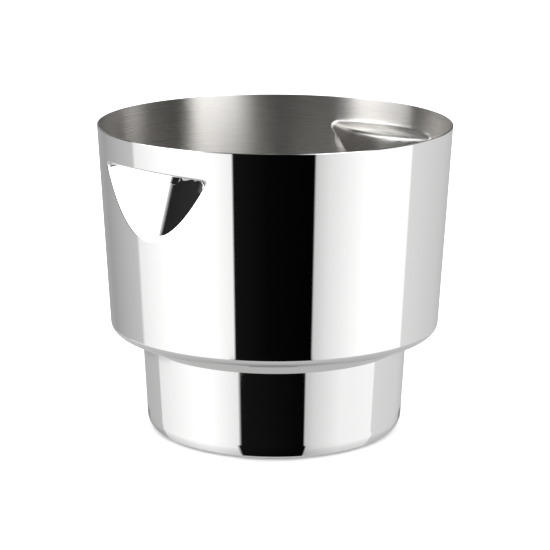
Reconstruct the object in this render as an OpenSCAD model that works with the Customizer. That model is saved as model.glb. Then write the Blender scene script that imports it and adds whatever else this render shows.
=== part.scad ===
// Stepped champagne bucket in sheet steel, with two inset finger grips.
// Origin at the middle of the base, +Z up, grips on -X and +X. Millimetres.

/* [Bucket] */
// Outside diameter of the rim
rim_d = 220; // [200:1:240]
// Height from the table to the rim
height = 194; // [185:1:215]
// Thickness of the steel sheet
sheet = 1; // [0.8:0.1:1.2]
// Outward lean of both drum walls, in degrees
wall_lean = 3.2; // [2:0.1:4]

/* [Shoulder and base] */
// Outside diameter of the lower drum where the shoulder meets it
neck_d = 166; // [150:1:176]
// Height of the shoulder's seam above the table
neck_h = 56; // [45:1:65]
// Fall of the shoulder towards the neck, in degrees from level
shoulder_fall = 27; // [20:1:35]
// Outside radius of the bend between wall and shoulder
shoulder_r = 6; // [4:0.5:9]
// Outside radius of the bend between wall and base
base_r = 9; // [5:0.5:12]
// Width of the flat ring that the bucket stands on
foot_w = 8; // [5:1:12]
// Rise of the base inside that ring
base_rise = 1.2; // [0.8:0.1:2]

/* [Grips] */
// Distance from the rim down to the mouth of a grip
grip_drop = 16.5; // [12:0.5:20]
// Height of a grip's mouth
grip_h = 41.5; // [34:0.5:46]
// Fall of the grip's roof towards the middle of the bucket, in degrees from level
roof_fall = 9; // [4:0.5:14]
// Tilt of the plane that the grip's lower edge lies in, in degrees from upright
grip_tilt = 10; // [8:0.5:12]

/* [Weld seams] */
// Height of the weld beads inside the grips
grip_bead = 0.7; // [0.5:0.1:1]
// Half the width of the shoulder's weld cap
cap_half_w = 0.8; // [0.6:0.1:0.8]
// Height of the shoulder's weld cap
cap_h = 0.4; // [0.3:0.1:0.5]

/* [Hidden] */
$fn = 128;

rim_r = rim_d / 2;
neck = [neck_d / 2, neck_h];
grip_top = height - grip_drop;
grip_bottom = grip_top - grip_h;

// Directions in which the faces of the profile look, in degrees
wall_dir = -wall_lean;
shoulder_dir = shoulder_fall - 90;
base_dir = -90;

// A line of the profile is its direction and how far it lies from the origin along it
function dir(a) = [cos(a), sin(a)];
function reach(p, a) = p * dir(a);
function meet(k1, a1, k2, a2) =
    [k1 * sin(a2) - k2 * sin(a1), k2 * cos(a1) - k1 * cos(a2)] / sin(a2 - a1);

upper_wall = reach([rim_r, height], wall_dir);
shoulder = reach(neck, shoulder_dir);
lower_wall = reach(neck, wall_dir);

shoulder_bend = meet(upper_wall - shoulder_r, wall_dir, shoulder - shoulder_r, shoulder_dir);
base_bend = meet(lower_wall - base_r, wall_dir, -base_r, base_dir);
rim_round = meet(upper_wall - sheet / 2, wall_dir, height - sheet / 2, 90);
seam_out = meet(lower_wall, wall_dir, shoulder - sheet, shoulder_dir);
seam_in = meet(lower_wall - sheet, wall_dir, shoulder - sheet, shoulder_dir);

// Outside radius of the upper wall at height z, moved inwards by the depth given
function wall_r(z, depth) = meet(upper_wall - depth, wall_dir, z, 90)[0];

// How far a tool solid runs past what it cuts
over_run = 5;

steel = "gainsboro";
seam_steel = "silver";

// ---------- profiles, from the axis outwards ----------

// Points along an arc round centre c, from direction a0 to a1
function arc(c, r, a0, a1, steps = 10) = [for (i = [0:steps]) c + r * dir(a0 + (a1 - a0) * i / steps)];

module upper_profile() {
    polygon(concat(
        [neck],
        arc(shoulder_bend, shoulder_r, shoulder_dir, wall_dir),
        arc(rim_round, sheet / 2, wall_dir, wall_dir + 180),
        arc(shoulder_bend, shoulder_r - sheet, wall_dir, shoulder_dir),
        [seam_out]
    ));
}

module lower_profile() {
    slope = 25;
    foot_in = base_bend[0] - foot_w;
    step = base_rise / tan(slope);
    shift = sheet * tan(slope / 2);
    polygon(concat(
        [[0, base_rise], [foot_in - step, base_rise], [foot_in, 0]],
        arc(base_bend, base_r, base_dir, wall_dir),
        [seam_out, seam_in],
        arc(base_bend, base_r - sheet, wall_dir, base_dir),
        [[foot_in + shift, sheet], [foot_in - step + shift, base_rise + sheet], [0, base_rise + sheet]]
    ));
}

// Cap of weld metal over the joint, on the shoulder's inside face
module seam_profile() {
    r = (cap_half_w ^ 2 + cap_h ^ 2) / (2 * cap_h);
    half = asin(cap_half_w / r);
    up = shoulder_dir + 180;
    polygon(arc(seam_out - (r - cap_h) * dir(up), r, up - half, up + half));
}

// ---------- grips, drawn for +X ----------

// Solid cone inside the upper wall, its surface moved inwards by depth
module wall_cone(depth) {
    low = grip_bottom - grip_h;
    high = height + grip_h;
    translate([0, 0, low]) cylinder(h = high - low, r1 = wall_r(low, depth), r2 = wall_r(high, depth));
}

// Layer of the upper wall between two depths
module wall_layer(near, deep) {
    difference() {
        wall_cone(near);
        wall_cone(deep);
    }
}

// A grip is the wall folded inwards: its mirror image in a tilted plane through the mouth's lowest point
module fold_in() {
    hinge = [wall_r(grip_bottom, 0), 0, grip_bottom];
    translate(hinge) mirror([cos(grip_tilt), 0, sin(grip_tilt)]) translate(-hinge) children();
}

// Block that slopes with the roof, between two heights over the roof's underside
module roof_slab(low, high) {
    translate([wall_r(grip_top, 0), 0, grip_top]) rotate([0, -roof_fall, 0])
        translate([-rim_r / 2, -rim_r / 2, low]) cube([rim_r, rim_r, high - low]);
}

// The part of a shape that lies under the roof
module under_roof() {
    intersection() {
        children();
        roof_slab(-grip_h - over_run, 0);
    }
}

module grip_mouth() {
    under_roof() fold_in() wall_cone(0);
}

module grip_panel() {
    color(steel) under_roof() intersection() {
        fold_in() wall_layer(-sheet, 0);
        wall_cone(sheet);
    }
}

module grip_roof() {
    color(steel) intersection() {
        fold_in() wall_cone(-sheet);
        wall_cone(sheet);
        roof_slab(0, sheet);
    }
}

// Beads of weld metal inside the bucket, under and over the roof's edge
module grip_seam() {
    color(seam_steel) {
        intersection() {
            fold_in() wall_layer(-sheet - grip_bead, -sheet);
            wall_layer(sheet, sheet + grip_bead);
            roof_slab(-grip_h - over_run, sheet);
        }
        intersection() {
            fold_in() wall_cone(-sheet);
            wall_layer(sheet, sheet + grip_bead);
            roof_slab(sheet, sheet + grip_bead);
        }
    }
}

module on_left() {
    mirror([1, 0, 0]) children();
}

// ---------- sub-parts ----------

module upper_drum() {
    color(steel) difference() {
        rotate_extrude() upper_profile();
        grip_mouth();
        on_left() grip_mouth();
    }
}

module lower_drum() {
    color(steel) rotate_extrude() lower_profile();
}

module shoulder_seam() {
    color(seam_steel) rotate_extrude() seam_profile();
}

upper_drum();
lower_drum();
shoulder_seam();
on_left() grip_panel();  // grip_panel_left
on_left() grip_roof();  // grip_roof_left
on_left() grip_seam();  // grip_seam_left
grip_panel();  // grip_panel_right
grip_roof();  // grip_roof_right
grip_seam();  // grip_seam_right
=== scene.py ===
"""Looks of a stepped champagne bucket in polished steel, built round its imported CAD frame.

Every length is in metres and every angle in degrees, unless a name says otherwise. The bucket's axis is Z, and
its two finger grips are on -X and +X.
"""

from __future__ import annotations

import logging
import math
from dataclasses import dataclass, field
from enum import Enum
from typing import Callable

import bpy
import numpy as np
from mathutils import Matrix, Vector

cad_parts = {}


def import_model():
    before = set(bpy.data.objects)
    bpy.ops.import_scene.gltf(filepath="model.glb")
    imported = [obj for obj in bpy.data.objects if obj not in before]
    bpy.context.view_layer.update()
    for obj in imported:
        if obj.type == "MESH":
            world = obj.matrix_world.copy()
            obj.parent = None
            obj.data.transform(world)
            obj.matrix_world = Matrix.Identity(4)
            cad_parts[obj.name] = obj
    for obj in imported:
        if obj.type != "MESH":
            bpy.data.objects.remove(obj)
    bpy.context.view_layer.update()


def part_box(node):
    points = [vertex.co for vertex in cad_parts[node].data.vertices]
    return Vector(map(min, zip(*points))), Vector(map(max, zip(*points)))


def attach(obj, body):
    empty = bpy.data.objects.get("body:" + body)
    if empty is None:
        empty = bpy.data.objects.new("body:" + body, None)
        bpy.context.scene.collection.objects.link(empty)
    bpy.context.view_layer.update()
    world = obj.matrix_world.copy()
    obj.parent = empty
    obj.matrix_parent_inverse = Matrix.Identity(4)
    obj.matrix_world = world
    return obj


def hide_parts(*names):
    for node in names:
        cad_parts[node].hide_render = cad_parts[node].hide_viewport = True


logging.basicConfig(level=logging.INFO, format="%(message)s")
log = logging.getLogger("bucket")

Array = np.ndarray
MM = 0.001
Panels = tuple[tuple[float, float], ...]
BODY = "root"


class Side(Enum):
    """The two grips, by the sign of the X axis that each lies on."""

    LEFT = -1
    RIGHT = 1


# ---------------------------------------------------------------- geometry of the section


def heading(angle: float | Array) -> Array:
    """Unit vector in the section plane, at an angle in degrees from the outward direction towards up.

    Args:
        angle: One angle, or an array of them.

    Returns:
        The vectors' outward and upward parts, in the last axis.
    """
    turned = np.radians(angle)
    return np.stack([np.cos(turned), np.sin(turned)], axis=-1)


def meet(reach_a: float, angle_a: float, reach_b: float, angle_b: float) -> Array:
    """Point where two lines cross, each given by its facing direction and its distance from the origin along it.

    Args:
        reach_a: Distance of the first line.
        angle_a: Facing direction of the first line.
        reach_b: Distance of the second line.
        angle_b: Facing direction of the second line.

    Returns:
        The point, as radius and height.
    """
    return np.linalg.solve(np.stack([heading(angle_a), heading(angle_b)]), [reach_a, reach_b])


@dataclass
class Track:
    """A stretch of the section: points as radius and height, and the direction that the surface faces at each."""

    points: Array
    facing: Array

    @staticmethod
    def line(start: Array, end: Array, angle: float, steps: int) -> "Track":
        """Straight stretch: equal steps from start to end, all facing one direction.

        Args:
            start: First point.
            end: Last point.
            angle: Direction that the surface faces.
            steps: Number of steps.

        Returns:
            The stretch.
        """
        share = np.linspace(0.0, 1.0, steps + 1)[:, None]
        points = np.asarray(start) + share * (np.asarray(end) - np.asarray(start))
        return Track(points, np.broadcast_to(heading(angle), points.shape).copy())

    @staticmethod
    def arc(centre: Array, radius: float, start: float, end: float, steps: int, hollow: bool = False) -> "Track":
        """Round stretch: centre plus radius times a direction that turns evenly from start to end.

        Args:
            centre: Centre of the bend.
            radius: Radius of the bend.
            start: First direction.
            end: Last direction.
            steps: Number of steps.
            hollow: Whether the surface faces the centre.

        Returns:
            The stretch.
        """
        out = heading(np.linspace(start, end, steps + 1))
        return Track(np.asarray(centre) + radius * out, -out if hollow else out)

    def joined(self, other: "Track") -> "Track":
        """This stretch followed by another."""
        return Track(np.concatenate([self.points, other.points]), np.concatenate([self.facing, other.facing]))


@dataclass
class Layer:
    """One face of the sheet as a grid: rows along the section, columns round the bucket."""

    points: Array
    normals: Array

    @staticmethod
    def revolved(track: Track, angles: Array) -> "Layer":
        """Carries a section round the axis: x and y are the radius times cosine and sine of each angle.

        Args:
            track: The section.
            angles: Angle of each column, in radians.

        Returns:
            The grid.
        """
        return Layer(turned(track.points[:, None, :], angles), turned(track.facing[:, None, :], angles))

    def over(self, below: "Layer") -> "Layer":
        """The rows of another grid, followed by this one's."""
        return Layer(
            np.concatenate([below.points, self.points]), np.concatenate([below.normals, self.normals])
        )


def turned(section: Array, angles: Array) -> Array:
    """Turns section vectors about the axis.

    Args:
        section: Radius and height in the last axis, one row of columns or one for all of them.
        angles: Angle of each column, in radians.

    Returns:
        X, Y and Z in the last axis.
    """
    radius = section[..., 0]
    return np.stack(
        [radius * np.cos(angles), radius * np.sin(angles), np.broadcast_to(section[..., 1], (radius * angles).shape)],
        axis=-1,
    )


# ---------------------------------------------------------------- meshes


@dataclass
class Shell:
    """A closed piece of sheet between a front and a back grid."""

    front: Layer
    back: Layer
    mask: Array

    def faces(self) -> tuple[Array, Array, Array]:
        """Corners, corner normals and finish number of every four-sided face.

        The front keeps its order and the back is reversed. Wherever a used cell has an unused neighbour, a strip
        joins the front's edge to the back's.

        Returns:
            Corner positions and corner normals, both (faces, 4, 3), and 0 for front and edge or 1 for back.
        """
        rows, columns = self.front.points.shape[:2]
        here = np.arange(rows * columns).reshape(rows, columns)
        after = np.roll(here, -1, axis=1)
        cells = np.stack([here[:-1], after[:-1], after[1:], here[1:]], axis=-1)[self.mask]
        padded = np.pad(self.mask, ((1, 1), (0, 0)))
        low = self.mask & ~padded[:-2]
        high = self.mask & ~padded[2:]
        left = self.mask & ~np.roll(self.mask, 1, axis=1)
        right = self.mask & ~np.roll(self.mask, -1, axis=1)
        edges = np.concatenate([
            np.stack([after[:-1][low], here[:-1][low]], axis=-1),
            np.stack([here[1:][high], after[1:][high]], axis=-1),
            np.stack([here[:-1][left], here[1:][left]], axis=-1),
            np.stack([after[1:][right], after[:-1][right]], axis=-1),
        ])
        front, back = self.front.points.reshape(-1, 3), self.back.points.reshape(-1, 3)
        front_n, back_n = self.front.normals.reshape(-1, 3), self.back.normals.reshape(-1, 3)
        strips = np.stack([front[edges[:, 0]], front[edges[:, 1]], back[edges[:, 1]], back[edges[:, 0]]], axis=1)
        strips_n = np.cross(strips[:, 2] - strips[:, 0], strips[:, 3] - strips[:, 1])
        size = np.linalg.norm(strips_n, axis=-1, keepdims=True)
        strips_n = strips_n / np.where(size > 0, size, 1.0)
        corners = np.concatenate([front[cells], back[cells[:, ::-1]], strips])
        normals = np.concatenate([
            front_n[cells], back_n[cells[:, ::-1]], np.repeat(strips_n[:, None, :], 4, axis=1)
        ])
        finish = np.repeat([0, 1, 0], [len(cells), len(cells), len(strips)])
        return corners, normals, finish


def piece(name: str, shells: list[Shell], finishes: list[bpy.types.Material]) -> bpy.types.Object:
    """Makes one object from shells, with corners in one place merged and each corner's own normal kept.

    A face with two corners in one place becomes a triangle, and one with fewer than three places is left out.

    Args:
        name: Name of the piece.
        shells: The shells in it.
        finishes: Materials of the front and of the back.

    Returns:
        The object, at the origin.
    """
    corners, normals, finish = (np.concatenate(part) for part in zip(*(s.faces() for s in shells)))
    grain = 1e-7
    keys = np.round(corners.reshape(-1, 3) / grain).astype(np.int64)
    _, first, number = np.unique(keys, axis=0, return_index=True, return_inverse=True)
    places = corners.reshape(-1, 3)[first]
    number = number.reshape(-1, 4)
    keep = number != np.roll(number, 1, axis=1)
    whole = keep.sum(axis=1) >= 3
    number, normals, finish, keep = number[whole], normals[whole], finish[whole], keep[whole]
    counts = keep.sum(axis=1)
    mesh = bpy.data.meshes.new(name)
    mesh.vertices.add(len(places))
    mesh.vertices.foreach_set("co", places.astype(np.float32).ravel())
    mesh.loops.add(int(counts.sum()))
    mesh.loops.foreach_set("vertex_index", number[keep].astype(np.int32))
    mesh.polygons.add(len(counts))
    starts = np.concatenate([[0], np.cumsum(counts)[:-1]])
    mesh.polygons.foreach_set("loop_start", starts.astype(np.int32))
    for material in finishes:
        mesh.materials.append(material)
    mesh.polygons.foreach_set("material_index", np.minimum(finish, len(finishes) - 1).astype(np.int32))
    mesh.update(calc_edges=True)
    mesh.shade_smooth()
    mesh.normals_split_custom_set(normals[keep].tolist())
    made = bpy.data.objects.new(name, mesh)
    bpy.context.scene.collection.objects.link(made)
    log.info("%s: %d faces", name, len(counts))
    return made


# ---------------------------------------------------------------- finishes


class Nodes:
    """Short ways to add and link nodes in one tree."""

    def __init__(self, tree: bpy.types.NodeTree) -> None:
        """Empties the tree.

        Args:
            tree: The tree to fill.
        """
        self.tree = tree
        tree.nodes.clear()

    def add(self, kind: str, **settings: object) -> bpy.types.Node:
        """Adds a node.

        Args:
            kind: Blender's name of the node type.
            **settings: Attributes to set on it.

        Returns:
            The node.
        """
        node = self.tree.nodes.new(kind)
        for name, value in settings.items():
            setattr(node, name, value)
        return node

    def feed(self, socket: bpy.types.NodeSocket, value: object) -> None:
        """Links an output to a socket, or sets the socket to a plain value."""
        if isinstance(value, bpy.types.NodeSocket):
            self.tree.links.new(value, socket)
        else:
            socket.default_value = value

    def math(self, operation: str, *values: object, clamp: bool = False) -> bpy.types.NodeSocket:
        """Adds a Math node.

        Args:
            operation: Blender's name of the operation.
            *values: Sockets or numbers that it takes.
            clamp: Whether the result is held between 0 and 1.

        Returns:
            Its result.
        """
        node = self.add("ShaderNodeMath", operation=operation, use_clamp=clamp)
        for socket, value in zip(node.inputs, values):
            self.feed(socket, value)
        return node.outputs[0]

    def mix(self, share: object, low: object, high: object) -> bpy.types.NodeSocket:
        """Blends two numbers: low at share 0 and high at share 1."""
        node = self.add("ShaderNodeMix", data_type="FLOAT")
        for socket, value in zip(node.inputs[:1] + node.inputs[2:4], (share, low, high)):
            self.feed(socket, value)
        return node.outputs[0]

    def stretched(self, value: object, bounds: tuple[float, float], to: tuple[float, float]) -> bpy.types.NodeSocket:
        """Maps one range of a number onto another, in a straight line held at both ends."""
        node = self.add("ShaderNodeMapRange", clamp=True)
        for socket, part in zip(node.inputs, (value, *bounds, *to)):
            self.feed(socket, part)
        return node.outputs[0]


@dataclass(frozen=True)
class LatheMarks:
    """Fine marks that run round the bucket's axis, as brushing on a lathe leaves them.

    Noise is read at the angle round the axis, the distance from it and the height, with far more detail across
    the marks than along them.
    """

    across: float = 3200.0
    along: float = 2.5
    detail: float = 2.0

    def socket(self, nodes: Nodes) -> bpy.types.NodeSocket:
        """Adds the noise.

        Args:
            nodes: The material's nodes.

        Returns:
            A number round 0.5.
        """
        place = nodes.add("ShaderNodeTexCoord")
        split = nodes.add("ShaderNodeSeparateXYZ")
        nodes.feed(split.inputs[0], place.outputs["Object"])
        x, y, z = split.outputs
        radius = nodes.math("SQRT", nodes.math("ADD", nodes.math("MULTIPLY", x, x), nodes.math("MULTIPLY", y, y)))
        spot = nodes.add("ShaderNodeCombineXYZ")
        # The angle's jump from one turn to the next is hidden by reading its sine and cosine.
        nodes.feed(spot.inputs[0], nodes.math("MULTIPLY", nodes.math("DIVIDE", x, radius), self.along))
        nodes.feed(spot.inputs[1], nodes.math("MULTIPLY", nodes.math("DIVIDE", y, radius), self.along))
        nodes.feed(spot.inputs[2], nodes.math("MULTIPLY", nodes.math("ADD", z, radius), self.across))
        noise = nodes.add("ShaderNodeTexNoise")
        nodes.feed(noise.inputs["Vector"], spot.outputs[0])
        nodes.feed(noise.inputs["Scale"], 1.0)
        nodes.feed(noise.inputs["Detail"], self.detail)
        return noise.outputs["Fac"]


@dataclass(frozen=True)
class Steel:
    """Stainless steel: a metal whose gloss and tiny relief follow the lathe marks.

    Roughness runs between two values with the marks, and the relief lifts the surface by less than a hair.
    """

    name: str
    colour: tuple[float, float, float]
    roughness: tuple[float, float]
    relief: float
    anisotropy: float = 0.0
    marks: LatheMarks = field(default_factory=LatheMarks)

    def material(self) -> bpy.types.Material:
        """Builds the material.

        Returns:
            The material.
        """
        made = bpy.data.materials.new(self.name)
        made.use_nodes = True
        nodes = Nodes(made.node_tree)
        out = nodes.add("ShaderNodeOutputMaterial")
        steel = nodes.add("ShaderNodeBsdfPrincipled")
        nodes.feed(out.inputs["Surface"], steel.outputs[0])
        nodes.feed(steel.inputs["Base Color"], (*self.colour, 1.0))
        nodes.feed(steel.inputs["Metallic"], 1.0)
        marks = self.marks.socket(nodes)
        nodes.feed(steel.inputs["Roughness"], nodes.stretched(marks, (0.3, 0.7), self.roughness))
        if self.anisotropy:
            nodes.feed(steel.inputs["Anisotropic"], self.anisotropy)
            nodes.feed(steel.inputs["Anisotropic Rotation"], 0.25)
            tangent = nodes.add("ShaderNodeTangent", direction_type="RADIAL", axis="Z")
            nodes.feed(steel.inputs["Tangent"], tangent.outputs[0])
        bump = nodes.add("ShaderNodeBump")
        nodes.feed(bump.inputs["Strength"], 1.0)
        nodes.feed(bump.inputs["Distance"], self.relief)
        nodes.feed(bump.inputs["Height"], marks)
        nodes.feed(steel.inputs["Normal"], bump.outputs[0])
        return made


@dataclass(frozen=True)
class Matt:
    """A plain matt surface."""

    name: str
    colour: tuple[float, float, float]

    def material(self) -> bpy.types.Material:
        """Builds the material.

        Returns:
            The material.
        """
        made = bpy.data.materials.new(self.name)
        made.use_nodes = True
        nodes = Nodes(made.node_tree)
        out = nodes.add("ShaderNodeOutputMaterial")
        paint = nodes.add("ShaderNodeBsdfDiffuse")
        nodes.feed(paint.inputs["Color"], (*self.colour, 1.0))
        nodes.feed(out.inputs["Surface"], paint.outputs[0])
        return made


# ---------------------------------------------------------------- the bucket


@dataclass
class Sizes:
    """Driving sizes of the bucket: what the frame gives is read from it, and the rest repeats the CAD source."""

    rim_radius: float = 110 * MM
    neck_radius: float = 83 * MM
    lean: float = 3.2
    shoulder_fall: float = 27.0
    shoulder_bend: float = 6 * MM
    base_bend: float = 9 * MM
    foot_width: float = 8 * MM
    grip_drop: float = 16.5 * MM
    grip_height: float = 41.5 * MM
    grip_tilt: float = 10.0
    roof_fall: float = 9.0
    sheet: float = 1 * MM
    height: float = field(init=False)
    neck_height: float = field(init=False)

    def __post_init__(self) -> None:
        """Reads the heights of the rim and the neck from the frame."""
        low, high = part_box("upper_drum")
        self.height, self.neck_height = high.z, low.z

    @property
    def wall_angle(self) -> float:
        """Direction that both drums' walls face."""
        return -self.lean

    @property
    def shoulder_angle(self) -> float:
        """Direction that the sloping shoulder faces."""
        return self.shoulder_fall - 90.0

    @property
    def neck(self) -> Array:
        """Point where the shoulder meets the lower drum, outside."""
        return np.array([self.neck_radius, self.neck_height])

    @property
    def upper_wall(self) -> float:
        """Distance of the upper wall's line from the origin."""
        return float(np.array([self.rim_radius, self.height]) @ heading(self.wall_angle))

    @property
    def lower_wall(self) -> float:
        """Distance of the lower wall's line from the origin."""
        return float(self.neck @ heading(self.wall_angle))

    @property
    def shoulder(self) -> float:
        """Distance of the shoulder's line from the origin."""
        return float(self.neck @ heading(self.shoulder_angle))

    @property
    def grip_top(self) -> float:
        """Height of the middle of a mouth's upper edge."""
        return self.height - self.grip_drop

    def wall_point(self, height: float, depth: float) -> Array:
        """Point of the upper wall at a height, moved inwards by a depth."""
        return meet(self.upper_wall - depth, self.wall_angle, height, 90.0)


def round_cut(first: Array, second: Array, radius: float | Array) -> Array:
    """Common part of two solids, given by distances that are negative inside, with a rounded edge.

    Near the edge both distances plus the radius are the sides of a right triangle, and its long side is the
    distance from the round's centre line.
    """
    side = np.hypot(np.maximum(radius + first, 0.0), np.maximum(radius + second, 0.0))
    return np.minimum(-radius, np.maximum(first, second)) + side


def round_union(first: Array, second: Array, radius: float | Array) -> Array:
    """Union of two solids, given by distances that are negative inside, with a rounded inner corner."""
    return -round_cut(-first, -second, radius)


def eased(value: Array, start: float, end: float) -> Array:
    """Share from 0 at start to 1 at end, with a smooth change: three times its square less twice its cube."""
    share = np.clip((value - start) / (end - start), 0.0, 1.0)
    return share * share * (3.0 - 2.0 * share)


@dataclass
class GripForm:
    """The wall with its two finger grips, as a distance field.

    A grip is the wall folded inwards: the panel is the wall's mirror image in a tilted plane through the mouth's
    lowest point, and a sloping roof closes it at the top. The mouth's edge is rounded more under the roof than
    along the fold, and so is the corner between panel and roof near the mouth's ends.
    """

    sizes: Sizes
    depth: float
    lip_round: float
    fold_round: float
    roof_round: float
    corner_round: float
    corner_span: tuple[float, float] = (35 * MM, 44 * MM)
    lip_span: tuple[float, float] = (2.5 * MM, 9 * MM)

    def wall(self, radius: Array, height: Array) -> Array:
        """Distance outside the upper wall's outer surface."""
        angle = math.radians(self.sizes.wall_angle)
        return radius * math.cos(angle) + height * math.sin(angle) - self.sizes.upper_wall

    def panel(self, radius: Array, angle: Array, height: Array) -> Array:
        """Distance before the panel's front: minus the wall distance of the point's mirror image."""
        tilt = math.radians(self.sizes.grip_tilt)
        hinge = self.sizes.wall_point(self.sizes.grip_top - self.sizes.grip_height, 0.0)
        x, y = radius * np.cos(angle), radius * np.sin(angle)
        off = (x - hinge[0]) * math.cos(tilt) + (height - hinge[1]) * math.sin(tilt)
        mirrored = np.hypot(x - 2 * off * math.cos(tilt), y)
        return -self.wall(mirrored, height - 2 * off * math.sin(tilt))

    def under_roof(self, radius: Array, angle: Array, height: Array) -> Array:
        """Distance below the roof's underside, a plane that falls towards the axis from the mouth's upper edge."""
        fall = math.radians(self.sizes.roof_fall)
        edge = self.sizes.wall_point(self.sizes.grip_top, 0.0)
        return (radius * np.cos(angle) - edge[0]) * math.sin(fall) - (height - edge[1]) * math.cos(fall)

    def __call__(self, radius: Array, angle: Array, height: Array) -> Array:
        """Distance field of the surface at this depth in the sheet, negative towards the axis.

        Args:
            radius: Distance from the axis.
            angle: Angle from the nearest grip's middle, in radians.
            height: Height above the base.

        Returns:
            The distances.
        """
        share = eased(np.abs(radius * np.sin(angle)), *self.corner_span)
        inner = self.roof_round + (self.corner_round - self.roof_round) * share
        under = self.under_roof(radius, angle, height)
        behind = round_union(self.panel(radius, angle, height) + self.depth, under + self.depth, inner)
        edge = self.lip_round + (self.fold_round - self.lip_round) * eased(under, *self.lip_span)
        return round_cut(self.wall(radius, height) + self.depth, behind, edge)

    def normals(self, radius: Array, angle: Array, height: Array) -> Array:
        """Outward direction of the surface: the field's slope, from small steps along X, Y and Z.

        Args:
            radius: Distance from the axis.
            angle: Angle from the nearest grip's middle, in radians.
            height: Height above the base.

        Returns:
            Unit vectors in the grip's own axes, in the last axis.
        """
        step = 1e-6
        x, y = radius * np.cos(angle), radius * np.sin(angle)

        def value(dx: float, dy: float, dz: float) -> Array:
            """The field a small step away."""
            return self(np.hypot(x + dx, y + dy), np.arctan2(y + dy, x + dx), height + dz)

        slope = np.stack([value(*shift) - value(*-shift) for shift in step * np.eye(3)], axis=-1)
        return slope / np.linalg.norm(slope, axis=-1, keepdims=True)


@dataclass
class Bench:
    """The grid that the drums are built on: the columns' angles, and where the grips' parts fall in it."""

    sizes: Sizes
    fine_from: float = 18.0
    fine_to: float = 26.5
    cut_at: float = 22.5
    bead_to: float = 25.0
    steps: tuple[int, ...] = (5, 14, 16, 12, 8, 14, 3)
    angles: Array = field(init=False)
    aside: Array = field(init=False)

    def __post_init__(self) -> None:
        """Sets the columns: close together near the ends of the grips' mouths, and wide apart elsewhere."""
        quarter = np.concatenate([
            np.arange(0.0, self.fine_from, 1.0),
            np.arange(self.fine_from, self.fine_to, 0.25),
            np.linspace(self.fine_to, 90.0, 26),
        ])
        half = np.concatenate([quarter, 180.0 - quarter[-2::-1]])
        turn = np.concatenate([half, 360.0 - half[-2:0:-1]])
        self.angles = np.radians(turn)
        self.aside = np.radians((turn + 90.0) % 180.0 - 90.0)

    @property
    def low(self) -> float:
        """Height at which the rows below a grip start."""
        return self.sizes.grip_top - self.sizes.grip_height - 8 * MM

    @property
    def high(self) -> float:
        """Height at which the rows over a grip end."""
        return self.sizes.grip_top + 6.5 * MM

    def between(self, first: int, last: int) -> Array:
        """Marks the grip rows from one part to another, counted among the parts in steps."""
        ends = np.concatenate([[0], np.cumsum(self.steps)])
        rows = np.arange(ends[-1])
        return (rows >= ends[first]) & (rows < ends[last])

    def columns(self, limit: float, side: Side | None = None) -> Array:
        """Marks the cells whose two edges are within an angle of a grip's middle.

        Args:
            limit: The angle.
            side: The grip, or None for both.

        Returns:
            One mark for each column of cells.
        """
        edge = np.abs(np.degrees(self.aside)) <= limit + 1e-6
        if side is not None:
            edge &= np.sign(np.cos(self.angles)) == side.value
        return edge & np.roll(edge, -1)

    def heights(self) -> Array:
        """Heights on the wall that the rays of each column aim at, with rows that follow the grip's edges.

        The mouth's lower edge is where the wall crosses the tilted plane. Towards the mouth's ends the parts
        between the edges keep a smallest height, so that no row closes up.

        Returns:
            Heights, (rows, columns).
        """
        sizes = self.sizes
        tilt, lean = math.radians(sizes.grip_tilt), math.tan(math.radians(sizes.lean))
        hinge = sizes.wall_point(sizes.grip_top - sizes.grip_height, 0.0)
        foot = sizes.wall_point(0.0, 0.0)[0]
        forward = np.cos(np.clip(np.abs(self.aside), 0.0, math.radians(40.0)))
        cosine = forward * math.cos(tilt)
        reach = hinge[0] * math.cos(tilt) + hinge[1] * math.sin(tilt)
        crease = (reach - foot * cosine) / (lean * cosine + math.sin(tilt))
        fall = math.tan(math.radians(sizes.roof_fall))
        edge = sizes.wall_point(sizes.grip_top, 0.0)
        top = (edge[1] + (foot * forward - edge[0]) * fall) / (1.0 - lean * forward * fall)
        tall = soft_least(top - crease, 5 * MM)
        roof = soft_least(0.135 * tall, 1.6 * MM)
        lip = 2.4 * MM * tall / (tall + 4 * MM)
        marks = [
            self.low + 0 * tall,
            top - tall - lip,
            top - tall + lip,
            top - roof * 1.3,
            top - roof * 0.85,
            top - roof * 0.25,
            top + 1.6 * MM,
            self.high + 0 * tall,
        ]
        parts = [
            low + (high - low) * np.linspace(0.0, 1.0, count, endpoint=False)[:, None]
            for low, high, count in zip(marks, marks[1:], self.steps)
        ]
        return np.concatenate([*parts, marks[-1][None]])

    def cast(self, form: GripForm) -> Layer:
        """Places the grip rows on a form: along rays from a point before each column, by halving the interval.

        Args:
            form: The surface.

        Returns:
            The grid, with normals that face away from the axis.
        """
        sizes = self.sizes
        eye = np.array([sizes.wall_point(sizes.grip_top, 0.0)[0] + 12 * MM, sizes.grip_top - 9 * MM])
        aims = self.heights()
        lean = math.tan(math.radians(sizes.lean))
        across = sizes.wall_point(0.0, 0.0)[0] + lean * aims - eye[0]
        up = aims - eye[1]
        near, far = np.full(aims.shape, 0.3), np.full(aims.shape, 4.0)
        for _ in range(44):
            middle = (near + far) / 2
            outside = form(eye[0] + middle * across, self.aside, eye[1] + middle * up) > 0
            near, far = np.where(outside, middle, near), np.where(outside, far, middle)
        radius, height = eye[0] + near * across, eye[1] + near * up
        own = form.normals(radius, np.broadcast_to(self.aside, radius.shape), height)
        turn = self.angles - self.aside
        normals = np.stack(
            [
                own[..., 0] * np.cos(turn) - own[..., 1] * np.sin(turn),
                own[..., 0] * np.sin(turn) + own[..., 1] * np.cos(turn),
                own[..., 2],
            ],
            axis=-1,
        )
        return Layer(turned(np.stack([radius, height], axis=-1), self.angles), normals)


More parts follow.
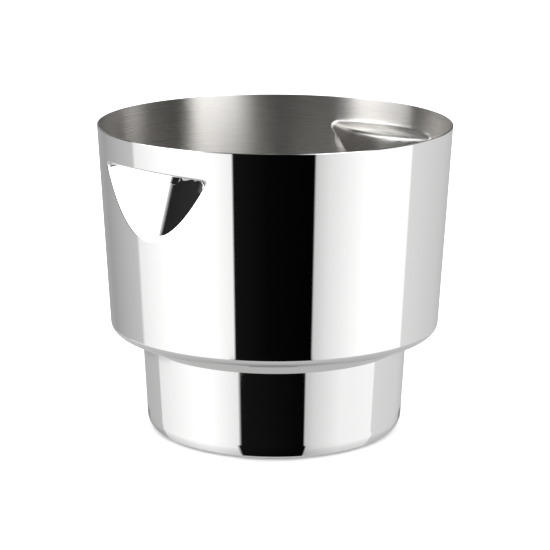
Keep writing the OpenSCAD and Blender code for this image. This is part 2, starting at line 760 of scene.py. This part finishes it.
def soft_least(value: Array, least: float) -> Array:
    """The larger of a value and a least value, with a smooth change between them."""
    return (value + least + np.sqrt((value - least) ** 2 + (0.3 * least) ** 2)) / 2


@dataclass
class UpperDrum:
    """Tapered wall with its rim, the bend and the sloping shoulder, and the grips that are set in it."""

    sizes: Sizes
    bench: Bench
    rows_below: int = field(default=0, init=False)

    def tracks(self, depth: float, hollow: bool, low: float, high: float) -> tuple[Track, Track]:
        """The section below and above the grips, at a depth in the sheet.

        Args:
            depth: Depth below the outer surface.
            hollow: Whether the surface faces the axis.
            low: Height where the grips' rows start.
            high: Height where they end.

        Returns:
            The stretch from the neck up to the grips, and the one from the grips up to the rim's crest.
        """
        s = self.sizes
        flip = 180.0 if hollow else 0.0
        centre = meet(
            s.upper_wall - s.shoulder_bend, s.wall_angle, s.shoulder - s.shoulder_bend, s.shoulder_angle
        )
        radius = s.shoulder_bend - depth
        rim = meet(s.upper_wall - s.sheet / 2, s.wall_angle, s.height - s.sheet / 2, 90.0)
        start = meet(s.lower_wall, s.wall_angle, s.shoulder - depth, s.shoulder_angle)
        low_end = centre + radius * heading(s.shoulder_angle)
        bend_end = centre + radius * heading(s.wall_angle)
        below = (
            Track.line(start, low_end, s.shoulder_angle + flip, 6)
            .joined(Track.arc(centre, radius, s.shoulder_angle, s.wall_angle, 16, hollow))
            .joined(Track.line(bend_end, s.wall_point(low, depth), s.wall_angle + flip, 12))
        )
        side = s.wall_angle + flip
        tangent = rim + s.sheet / 2 * heading(side)
        above = Track.line(s.wall_point(high, depth), tangent, side, 4).joined(
            Track.arc(rim, s.sheet / 2, side, 90.0, 6)
        )
        return below, above

    def layer(self, form: GripForm, hollow: bool) -> Layer:
        """One face of the sheet, from the neck to the rim's crest.

        Args:
            form: The grips' surface.
            hollow: Whether the face looks at the axis.

        Returns:
            The grid.
        """
        grips = self.bench.cast(form)
        below, above = self.tracks(form.depth, hollow, grips.points[0, 0, 2], grips.points[-1, 0, 2])
        if hollow:
            grips = Layer(grips.points, -grips.normals)
        self.rows_below = len(below.points)
        return (
            Layer.revolved(above, self.bench.angles)
            .over(grips)
            .over(Layer.revolved(below, self.bench.angles))
        )

    def grip_cells(self, first: int, last: int, columns: Array, rows: int) -> Array:
        """Marks the cells of some parts of the grips, in the whole drum's grid.

        Args:
            first: First part.
            last: Part to stop before.
            columns: Marked columns.
            rows: Number of rows of cells in the whole grid.

        Returns:
            One mark for each cell.
        """
        part = self.bench.between(first, last)
        marked = np.zeros(rows, bool)
        marked[self.rows_below : self.rows_below + len(part)] = part
        return marked[:, None] & columns[None, :]

    def build(self, mirror: bpy.types.Material, satin: bpy.types.Material, bead: bpy.types.Material) -> None:
        """Makes the drum, and the panel, roof and weld seam of each grip.

        Args:
            mirror: Finish outside.
            satin: Finish inside.
            bead: Finish of the weld seams.
        """
        s, bench = self.sizes, self.bench
        front = self.layer(GripForm(s, 0.0, 1.1 * MM, 0.6 * MM, 1.0 * MM, 3.2 * MM), hollow=False)
        back = self.layer(GripForm(s, s.sheet, 1.8 * MM, 0.8 * MM, 3.4 * MM, 4.2 * MM), hollow=True)
        crown = self.layer(GripForm(s, s.sheet + 0.02 * MM, 1.8 * MM, 0.8 * MM, 3.4 * MM, 4.2 * MM), hollow=True)
        root = self.layer(GripForm(s, s.sheet - 0.1 * MM, 1.8 * MM, 0.8 * MM, 3.4 * MM, 4.2 * MM), hollow=True)
        rows = front.points.shape[0] - 1
        inner = bench.columns(bench.cut_at)
        panel = self.grip_cells(2, 3, inner, rows)
        roof = self.grip_cells(3, 5, inner, rows)
        drum = piece("upper_drum_sheet", [Shell(front, back, ~(panel | roof))], [mirror, satin])
        settle(drum, "upper_drum")
        for side in Side:
            name = side.name.lower()
            own = bench.columns(bench.cut_at, side)
            for part, cells in (("panel", self.grip_cells(2, 3, own, rows)), ("roof", self.grip_cells(3, 5, own, rows))):
                made = piece(f"grip_{part}_{name}_sheet", [Shell(front, back, cells)], [mirror, satin])
                settle(made, f"grip_{part}_{name}")
            ends = bench.columns(bench.bead_to, side) & ~own
            cells = self.grip_cells(1, 2, own, rows) | self.grip_cells(5, 6, own, rows)
            cells |= self.grip_cells(1, 6, ends, rows)
            # Seen from the bucket's inside, the bead's crown is its front, so both grids change sides.
            seam = piece(f"grip_seam_{name}_bead", [Shell(root, crown, cells)], [bead])
            settle(seam, f"grip_seam_{name}")


@dataclass
class LowerDrum:
    """Narrow drawn cup that the bucket stands on, with a flat ring under it and a raised middle."""

    sizes: Sizes
    bench: Bench
    rise: float = 1.2 * MM
    slope: float = 25.0

    def track(self, depth: float, hollow: bool) -> Track:
        """The section from the base's middle up to the seam, at a depth in the sheet.

        Args:
            depth: Depth below the outer surface.
            hollow: Whether the surface faces the inside.

        Returns:
            The stretch.
        """
        s = self.sizes
        flip = 180.0 if hollow else 0.0
        centre = meet(s.lower_wall - s.base_bend, s.wall_angle, -s.base_bend, -90.0)
        radius = s.base_bend - depth
        foot = centre[0] - s.foot_width + depth * math.tan(math.radians(self.slope / 2))
        step = self.rise / math.tan(math.radians(self.slope))
        ramp = -90.0 - self.slope + flip
        down = -90.0 + flip
        top = meet(s.lower_wall - depth, s.wall_angle, s.shoulder - s.sheet, s.shoulder_angle)
        points = [
            Track.line([0.0, self.rise + depth], [foot - step, self.rise + depth], down, 8),
            Track.line([foot - step, self.rise + depth], [foot, depth], ramp, 2),
            Track.line([foot, depth], [centre[0], depth], down, 3),
            Track.arc(centre, radius, -90.0, s.wall_angle, 20, hollow),
            Track.line(centre + radius * heading(s.wall_angle), top, s.wall_angle + flip, 10),
        ]
        whole = points[0]
        for part in points[1:]:
            whole = whole.joined(part)
        return whole

    def build(self, mirror: bpy.types.Material, satin: bpy.types.Material) -> None:
        """Makes the cup.

        Args:
            mirror: Finish outside.
            satin: Finish inside.
        """
        front = Layer.revolved(self.track(0.0, False), self.bench.angles)
        back = Layer.revolved(self.track(self.sizes.sheet, True), self.bench.angles)
        cells = np.ones((front.points.shape[0] - 1, front.points.shape[1]), bool)
        cup = piece("lower_drum_sheet", [Shell(front, back, cells)], [mirror, satin])
        settle(cup, "lower_drum")


@dataclass
class ShoulderSeam:
    """Weld cap inside the bucket, where the shoulder meets the lower drum."""

    sizes: Sizes
    bench: Bench
    half_width: float = 0.8 * MM
    height: float = 0.4 * MM

    def build(self, bead: bpy.types.Material) -> None:
        """Makes the ring: a flat arc over its chord, carried round the axis.

        Args:
            bead: Finish of the cap.
        """
        s = self.sizes
        up = s.shoulder_angle + 180.0
        joint = meet(s.lower_wall, s.wall_angle, s.shoulder - s.sheet, s.shoulder_angle)
        radius = (self.half_width**2 + self.height**2) / (2 * self.height)
        half = math.degrees(math.asin(self.half_width / radius))
        centre = joint - (radius - self.height) * heading(up)
        cap = Track.arc(centre, radius, up - half, up + half, 10)
        chord = Track.line(cap.points[0], cap.points[-1], s.shoulder_angle, 10)
        front, back = Layer.revolved(chord, self.bench.angles), Layer.revolved(cap, self.bench.angles)
        cells = np.ones((len(cap.points) - 1, len(self.bench.angles)), bool)
        ring = piece("shoulder_seam_bead", [Shell(front, back, cells)], [bead])
        settle(ring, "shoulder_seam")


def settle(made: bpy.types.Object, node: str) -> None:
    """Puts a finished piece on the bucket's body in place of its CAD node.

    Args:
        made: The piece.
        node: The CAD node.
    """
    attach(made, BODY)
    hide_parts(node)


# ---------------------------------------------------------------- studio


@dataclass
class Studio:
    """Camera, floor and the light tent round the bucket."""

    azimuth: float = -45.3
    pitch: float = 13.61
    roll: float = 0.21
    distance: float = 1349 * MM
    height: float = 423.2 * MM
    lens: float = 144.5
    floor_half: float = 3.0
    fill: float = 2.2
    roof: float = 120.0
    middle_panels: Panels = (
        (-180.0, 168.0),
        (-145.0, 155.0),
        (-104.5, 191.0),
        (-103.5, 235.0),
        (-78.0, 257.0),
        (-41.0, 257.0),
        (-27.7, 239.0),
        (-27.3, 17.0),
        (-5.0, 6.0),
        (25.5, 2.0),
        (26.0, 198.0),
        (36.0, 225.0),
        (62.0, 257.0),
        (99.0, 257.0),
        (99.8, 216.0),
        (141.0, 199.0),
        (180.0, 170.0),
    )
    low_panels: Panels = (
        (-180.0, 168.0),
        (-157.0, 175.0),
        (-123.5, 184.0),
        (-122.5, 230.0),
        (-73.0, 257.0),
        (-58.0, 257.0),
        (-31.2, 230.0),
        (-30.7, 18.0),
        (27.2, 4.0),
        (27.7, 190.0),
        (36.0, 210.0),
        (62.0, 240.0),
        (99.0, 245.0),
        (99.8, 212.0),
        (141.0, 204.0),
        (180.0, 170.0),
    )
    high_panels: Panels = (
        (-180.0, 150.0),
        (-142.0, 130.0),
        (-132.0, 45.0),
        (-101.4, 34.0),
        (-100.8, 350.0),
        (-57.0, 380.0),
        (-47.0, 15.0),
        (14.0, 15.0),
        (32.0, 370.0),
        (58.0, 380.0),
        (64.0, 15.0),
        (99.0, 15.0),
        (109.0, 190.0),
        (150.0, 100.0),
        (180.0, 60.0),
    )
    table: Panels = ((-90.0, 125.0), (-62.0, 172.0), (-35.0, 186.0), (-26.0, 190.0))

    def camera(self) -> None:
        """Places the camera: turned about Z, tipped down and rolled a little."""
        data = bpy.data.cameras.new("camera")
        data.lens = self.lens
        data.sensor_width = 36.0
        data.shift_x = 0.0007
        data.clip_end = 20.0
        camera = bpy.data.objects.new("camera", data)
        turn = math.radians(self.azimuth)
        spin = Matrix.Rotation(turn, 4, "Z")
        tip = Matrix.Rotation(math.radians(90.0 - self.pitch), 4, "X")
        roll = Matrix.Rotation(math.radians(self.roll), 4, "Z")
        place = Matrix.Translation(
            (math.sin(turn) * self.distance, -math.cos(turn) * self.distance, self.height)
        )
        camera.matrix_world = place @ spin @ tip @ roll
        bpy.context.scene.collection.objects.link(camera)
        bpy.context.scene.camera = camera

    def floor(self) -> None:
        """Lays a plain pale floor, which doesn't show in the polished steel."""
        half = self.floor_half
        mesh = bpy.data.meshes.new("floor")
        mesh.from_pydata(
            [(-half, -half, 0.0), (half, -half, 0.0), (half, half, 0.0), (-half, half, 0.0)], [], [(0, 1, 2, 3)]
        )
        mesh.materials.append(Matt("pale_floor", (0.9, 0.9, 0.9)).material())
        made = bpy.data.objects.new("floor", mesh)
        made.visible_glossy = False
        bpy.context.scene.collection.objects.link(made)

    def tent(self) -> None:
        """Builds the world: even white for matt surfaces, and the tent's panels for whatever reflects."""
        world = bpy.data.worlds.new("light_tent")
        world.use_nodes = True
        bpy.context.scene.world = world
        nodes = Nodes(world.node_tree)
        out = nodes.add("ShaderNodeOutputWorld")
        place = nodes.add("ShaderNodeTexCoord")
        split = nodes.add("ShaderNodeSeparateXYZ")
        nodes.feed(split.inputs[0], place.outputs["Generated"])
        bearing = self.bearing(nodes, place.outputs["Generated"])
        rise = nodes.math("MULTIPLY", nodes.math("ARCSINE", split.outputs[2]), 180.0 / math.pi)
        half_turn = nodes.math("MULTIPLY", nodes.math("SUBTRACT", bearing, 0.5), math.pi)
        # The middle ring ends lower in front of the camera than at its sides.
        ring_end = nodes.math("MULTIPLY_ADD", nodes.math("COSINE", half_turn), -7.0, -15.3)
        above_end = nodes.math("SUBTRACT", rise, ring_end)
        over = nodes.stretched(above_end, (-0.12, 0.12), (0.0, 1.0))
        walls = nodes.mix(over, ring(nodes, bearing, self.low_panels), ring(nodes, bearing, self.middle_panels))
        # The upper panels lean: their edges shift with the height.
        lean = nodes.math(
            "ADD",
            nodes.stretched(rise, (-1.0, 6.0), (-8.0 / 360.0, 0.0)),
            nodes.stretched(rise, (15.5, 19.5), (3.4 / 360.0, -1.8 / 360.0)),
        )
        high = ring(nodes, nodes.math("ADD", bearing, lean), self.high_panels)
        walls = nodes.mix(nodes.stretched(above_end, (6.3, 7.3), (0.0, 1.0)), walls, high)
        walls = nodes.mix(nodes.stretched(rise, (45.0, 70.0), (0.0, 1.0)), walls, linear(self.roof))
        table = ring(nodes, nodes.math("MULTIPLY_ADD", rise, 1.0 / 360.0, 0.5), self.table)
        walls = nodes.mix(nodes.stretched(above_end, (-4.6, -3.2), (0.0, 1.0)), table, walls)
        ray = nodes.add("ShaderNodeLightPath")
        light = nodes.mix(ray.outputs["Is Glossy Ray"], self.fill, walls)
        glow = nodes.add("ShaderNodeBackground")
        nodes.feed(glow.inputs["Color"], (1.0, 1.0, 1.0, 1.0))
        nodes.feed(glow.inputs["Strength"], light)
        nodes.feed(out.inputs[0], glow.outputs[0])

    def painted_reflection_card(self, neck: float) -> None:
        """Lays a glowing ring round the foot that only reflections see: a painted reflection of the panels' light on
        the table where it reaches the base, with painted shade towards the foot.

        Args:
            neck: Radius of the lower drum at its neck, which the ring's edges follow.
        """
        wall = neck - 3 * MM
        inner, outer, tall = neck - 7 * MM, neck + 5 * MM, 6 * MM
        angles = np.linspace(0.0, 2.0 * math.pi, 180, endpoint=False)
        dish = np.array([[inner, 0.0], [outer, 0.0], [outer, tall]])
        points = turned(dish[:, None, :], angles).reshape(-1, 3)
        here = np.arange(len(points)).reshape(len(dish), -1)
        after = np.roll(here, -1, axis=1)
        faces = np.stack([here[:-1], after[:-1], after[1:], here[1:]], axis=-1).reshape(-1, 4)
        mesh = bpy.data.meshes.new("painted_reflection_card")
        mesh.from_pydata(points.tolist(), [], faces.tolist())
        made = bpy.data.materials.new("painted_reflection_card")
        made.use_nodes = True
        nodes = Nodes(made.node_tree)
        place = nodes.add("ShaderNodeTexCoord")
        split = nodes.add("ShaderNodeSeparateXYZ")
        nodes.feed(split.inputs[0], place.outputs["Object"])
        x, y, z = split.outputs
        reach = nodes.math("SQRT", nodes.math("MULTIPLY_ADD", x, x, nodes.math("MULTIPLY", y, y)))
        # A ray leaves a round wall of radius R at twice the bearing of its spot, and lands at the radius r:
        # its bearing is 2 r / (2 r - R) times the bearing of the place where it lands.
        times = nodes.math("DIVIDE", reach, nodes.math("MULTIPLY_ADD", reach, 1.0, -wall / 2))
        bearing = self.bearing(nodes, place.outputs["Object"], times)
        # Painted shade: the reflected panels' light is darkened towards the foot and the ring's low inner edge.
        painted_shade = nodes.stretched(nodes.math("ADD", reach, z), (neck - 5 * MM, outer + tall / 2), (0.72, 1.0))
        panels = nodes.math("MULTIPLY", ring(nodes, bearing, self.low_panels), painted_shade)
        # From further off than the foot's own bend, the ring is only a dark line on the table: painted shade, an even
        # grey glow.
        far = nodes.stretched(nodes.add("ShaderNodeLightPath").outputs["Ray Length"], (25 * MM, 27 * MM), (0.0, 1.0))
        glow = nodes.add("ShaderNodeEmission")
        nodes.feed(glow.inputs["Strength"], nodes.mix(far, panels, linear(140.0)))
        nodes.feed(nodes.add("ShaderNodeOutputMaterial").inputs["Surface"], glow.outputs[0])
        mesh.materials.append(made)
        card = bpy.data.objects.new("painted_reflection_card", mesh)
        card.visible_camera = card.visible_diffuse = card.visible_shadow = False
        bpy.context.scene.collection.objects.link(card)

    def bearing(
        self, nodes: Nodes, place: bpy.types.NodeSocket, times: "float | bpy.types.NodeSocket" = 1.0
    ) -> bpy.types.NodeSocket:
        """Adds the bearing of a place or direction, measured from the camera and positive to its right.

        It is the arc tangent of how far right over how near, as a share of a whole turn with a half at the camera.

        Args:
            nodes: The nodes to add to.
            place: The place or direction.
            times: Factor on the bearing.

        Returns:
            The share.
        """
        split = nodes.add("ShaderNodeSeparateXYZ")
        nodes.feed(split.inputs[0], place)
        x, y, _ = split.outputs
        turn = math.radians(self.azimuth)
        right = nodes.math("MULTIPLY_ADD", y, math.sin(turn), nodes.math("MULTIPLY", x, math.cos(turn)))
        near = nodes.math("MULTIPLY_ADD", y, -math.cos(turn), nodes.math("MULTIPLY", x, math.sin(turn)))
        angle = nodes.math("ARCTAN2", right, near)
        turns = nodes.math("MULTIPLY", angle, 0.5 / math.pi)
        return nodes.math("MULTIPLY_ADD", turns, times, 0.5, clamp=True)


def ring(nodes: Nodes, bearing: bpy.types.NodeSocket, panels: Panels) -> bpy.types.NodeSocket:
    """Adds one ring of panels as a ramp over the bearing.

    Args:
        nodes: The nodes to add to.
        bearing: Bearing as a share of a whole turn.
        panels: Bearing in degrees and brightness as seen, from 0 to 255, at each change.

    Returns:
        The light's strength.
    """
    ramp = nodes.add("ShaderNodeValToRGB")
    nodes.feed(ramp.inputs[0], bearing)
    stops = ramp.color_ramp.elements
    for angle, _ in panels[2:]:
        stops.new(angle / 360.0 + 0.5)
    for stop, (angle, seen) in zip(stops, panels):
        stop.position = angle / 360.0 + 0.5
        stop.color = (linear(seen),) * 3 + (1.0,)
    split = nodes.add("ShaderNodeSeparateColor")
    nodes.feed(split.inputs[0], ramp.outputs[0])
    return split.outputs[0]


def linear(seen: float) -> float:
    """Light needed for a brightness as seen, from 0 to 255, in a surface that reflects nine tenths."""
    share = seen / 255.0
    light = share / 12.92 if share < 0.04045 else ((share + 0.055) / 1.055) ** 2.4
    return light / 0.9


def main() -> None:
    """Builds the bucket and its studio."""
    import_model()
    scene = bpy.context.scene
    scene.view_settings.view_transform = "Standard"
    studio = Studio()
    studio.camera()
    studio.floor()
    studio.tent()
    studio.painted_reflection_card(Sizes.neck_radius)
    mirror = Steel("mirror_polished_steel", (0.9, 0.9, 0.895), (0.02, 0.04), 0.0001 * MM).material()
    satin = Steel("satin_brushed_steel", (0.7, 0.685, 0.665), (0.26, 0.33), 0.001 * MM, 0.97).material()
    bead = Steel("ground_weld", (0.76, 0.745, 0.725), (0.26, 0.33), 0.001 * MM, 0.97).material()
    sizes = Sizes()
    bench = Bench(sizes)
    UpperDrum(sizes, bench).build(mirror, satin, bead)
    LowerDrum(sizes, bench).build(mirror, satin)
    ShoulderSeam(sizes, bench).build(bead)


if __name__ == "__main__":
    main()
